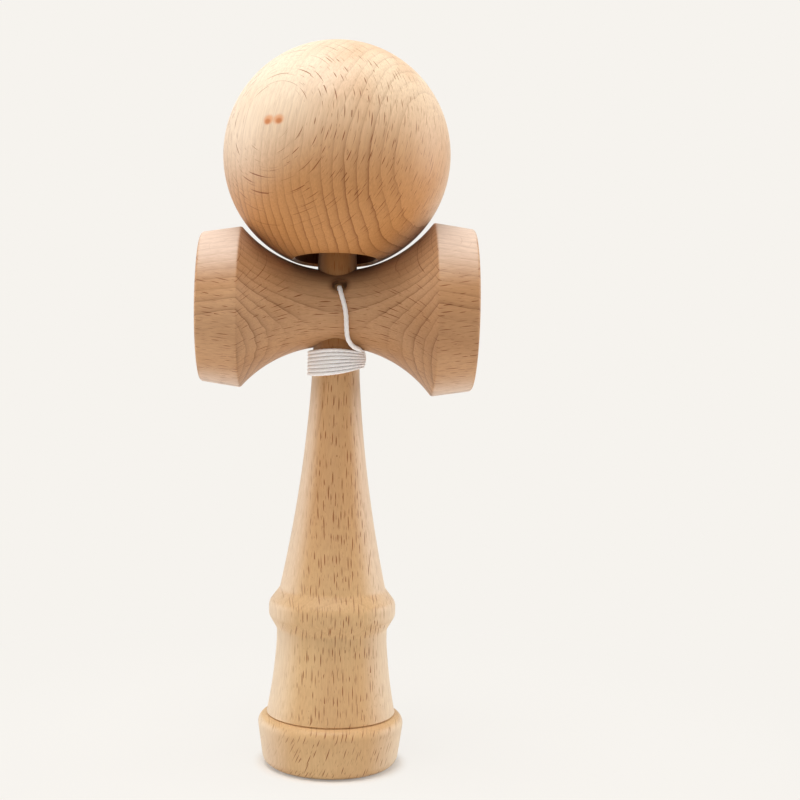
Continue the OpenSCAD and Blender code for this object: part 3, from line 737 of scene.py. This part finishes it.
def knot(name, centre, axis):
    """Pulled knot: a tube along a trefoil that is drawn tight about the axis, inside a ball of the
    knot's size."""
    t = np.linspace(0.0, 2 * math.pi, 120, endpoint=False)
    axis = np.asarray(axis, float)
    one = np.cross(axis, (1.0, 0.0, 0.0))
    one /= np.linalg.norm(one)
    two = np.cross(axis, one)
    flat = np.stack([np.sin(t) + 2 * np.sin(2 * t), np.cos(t) - 2 * np.cos(2 * t), -np.sin(3 * t)], axis=1)
    flat *= (KNOT_SPREAD, KNOT_SPREAD, KNOT_LIFT)
    line = np.asarray(centre, float) + flat @ np.stack([one, two, axis])
    way = np.roll(line, -1, axis=0) - np.roll(line, 1, axis=0)
    way /= np.linalg.norm(way, axis=1)[:, None]
    u = np.cross(way, axis)
    u /= np.linalg.norm(u, axis=1)[:, None]
    v = np.cross(way, u)
    ring = np.linspace(0.0, 2 * math.pi, 12, endpoint=False)[:, None]
    grid = line[:, None] + KNOT_TUBE_R * (np.cos(ring) * u[:, None] + np.sin(ring) * v[:, None])
    return mesh_of(name, grid, round_rows=True, sharp=KNOT_SHARP)


tilt = math.radians(STRING_HOLE_TILT)
hole_way = np.array([0.0, -math.cos(tilt), math.sin(tilt)])
hole_down = np.array([0.0, -math.sin(tilt), -math.cos(tilt)])
tie_start = np.array([TIE_X, 0.0, CROSS_H]) + TIE_DROP * hole_down
tie_out = tie_start + TIE_END * hole_way

knot_middle = np.mean(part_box("ken_knot"), axis=0) / MM
handle_knot = knot("handle_knot", knot_middle, hole_way)
finished(handle_knot, white_string, "ken", "string", "ken_knot")
bead_knot = lean(knot("ball_knot", (BALL_X, 0, BEAD_KNOT_Z - KNOT_SINK), (0, 0, 1)))
finished(bead_knot, white_string, "swivel", "string", "bead_knot")


# String

LEAD_ROUTE = [
    (0.6, -8.5, 126.7), (0.7, -9.6, 126.6), (0.9, -10.3, 125.7), (1.3, -10.7, 124.3), (2.0, -10.9, 121.9),
    (2.4, -10.85, 119.4), (2.55, -10.5, 116.8), (2.7, -10.0, 114.9), (3.1, -9.4, 113.3), (3.95, -8.5, 112.0),
    (4.95, -7.5, 111.25), (5.85, -5.9, 110.9),
]
RISER_ROUTE = [
    (0.1, 7.5, 103.4), (-1.2, 8.2, 103.7), (-1.9, 8.5, 105), (-2, 8.5, 107.5), (-1.7, 8.5, 110.5),
    (-1.2, 8.9, 113.5), (-0.7, 9.6, 116.2), (-0.6, 10.5, 118),
]
BACK_ROUTE = [
    (-0.6, 10.5, 118), (-0.6, 12.2, 121), (-0.6, 19, 132.8), (-0.6, 24, 141.5), (-0.6, 26.9, 146.4),
    (-0.6, 29.9, 153.8), (-0.6, 31, 161.8), (-0.6, 29.9, 169.9), (-0.6, 26.8, 177.3), (-0.6, 21.9, 183.7),
    (-0.6, 15.5, 188.6),
]
TOP_ROUTE = [
    (-0.6, 9.5, 191.3), (-0.6, 5, 192.2), (-0.6, 2.8, 191.8), (-0.6, 1.1, 190.7), (-0.6, 0.2, 189.1),
    (-0.6, 0, 187.6),
]
TURNS, START, LOOP_POINTS = 7.25, -20.0, 24
TOP_Z, SAG, WOUND_R = 110.75, 0.5, 7.0
PITCH, TIGHT_PITCH, WOUND_SHARE, TIGHT_SWELL = 1.0, 0.64, 0.495, 0.2
STAND_OUT, STAND_FALL, STAND_TURN, STAND_SPAN = 0.35, 0.45, 3.4, 3.7

# Winding: a screw line whose turns lie closer together at the right, where the string is drawn tight.
# There it also stands out further, most of all in its middle turns
turn = START / 360 + np.linspace(0.0, TURNS, int(LOOP_POINTS * TURNS) + 1)
angle = 2 * math.pi * turn
tight = ((1 + np.cos(angle)) / 2) ** 2
pitch = PITCH + (TIGHT_PITCH - PITCH) * tight
reach = WOUND_R + tight * (STAND_OUT - STAND_FALL * ((turn - STAND_TURN) / STAND_SPAN) ** 2)
wound = np.stack([
    reach * np.cos(angle),
    reach * np.sin(angle),
    TOP_Z - pitch * turn - SAG * np.cos(2 * angle) * (1 - turn / turn[-1]),
    STRING_D / 2 * (1 + TIGHT_SWELL * tight),
    WOUND_SHARE * pitch,
], axis=1)


def round_stretch(points):
    """Points of a stretch where the string is round, each with its two half widths."""
    return np.insert(np.asarray(points, float), [3, 3], STRING_D / 2, axis=1)


def strung(piece, body, next_body, start, end, *nodes):
    """Gives a stretch of string its material, bakes its place into its mesh, and lets it stand for its nodes;
    the two bodies and the two ends given are not used.
    """
    piece.data.materials.append(white_string)
    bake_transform(piece)
    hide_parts(*nodes)


lead, riser = round_stretch([tie_out, *LEAD_ROUTE]), round_stretch(RISER_ROUTE)
route = np.concatenate([lead, wound, riser])
line, at = evenly(curve(route, CURVE_STEPS), TUBE_STEP)
line, half_out, half_side = line[:, :3], line[:, 3], line[:, 4]
wound_string = string_tube("wound_string", line, at, line * (1, 1, 0), half_out, half_side)
strung(
    wound_string, "ken", "crosspiece", (0, 0, 0.1115), (0, 0, 0.1175),
    "string_lead", "string_winding", "string_riser",
)

tied_string, _, _ = even_string("tied_string", np.stack([tie_start + TIE_FLOOR * hole_way, tie_out]))
tie_blend = tie_start + TIE_BLEND * hole_way
strung(tied_string, "ken", "crosspiece", tuple(tie_blend * MM), tuple(tie_out * MM), "string_anchor")

core = leaned([(BALL_X, 0, CORE_TOP_Z), (BALL_X, 0, CORE_END_Z)])
back_curve = curve(np.concatenate([BACK_ROUTE, leaned(TOP_ROUTE)]), CURVE_STEPS)
back_string, back_line, back_at = even_string("back_string", np.concatenate([back_curve, core]))
strung(back_string, "crosspiece", "swivel", (0, 0, 0.118), (0, 0, 0.150), "string_rear", "string_core")
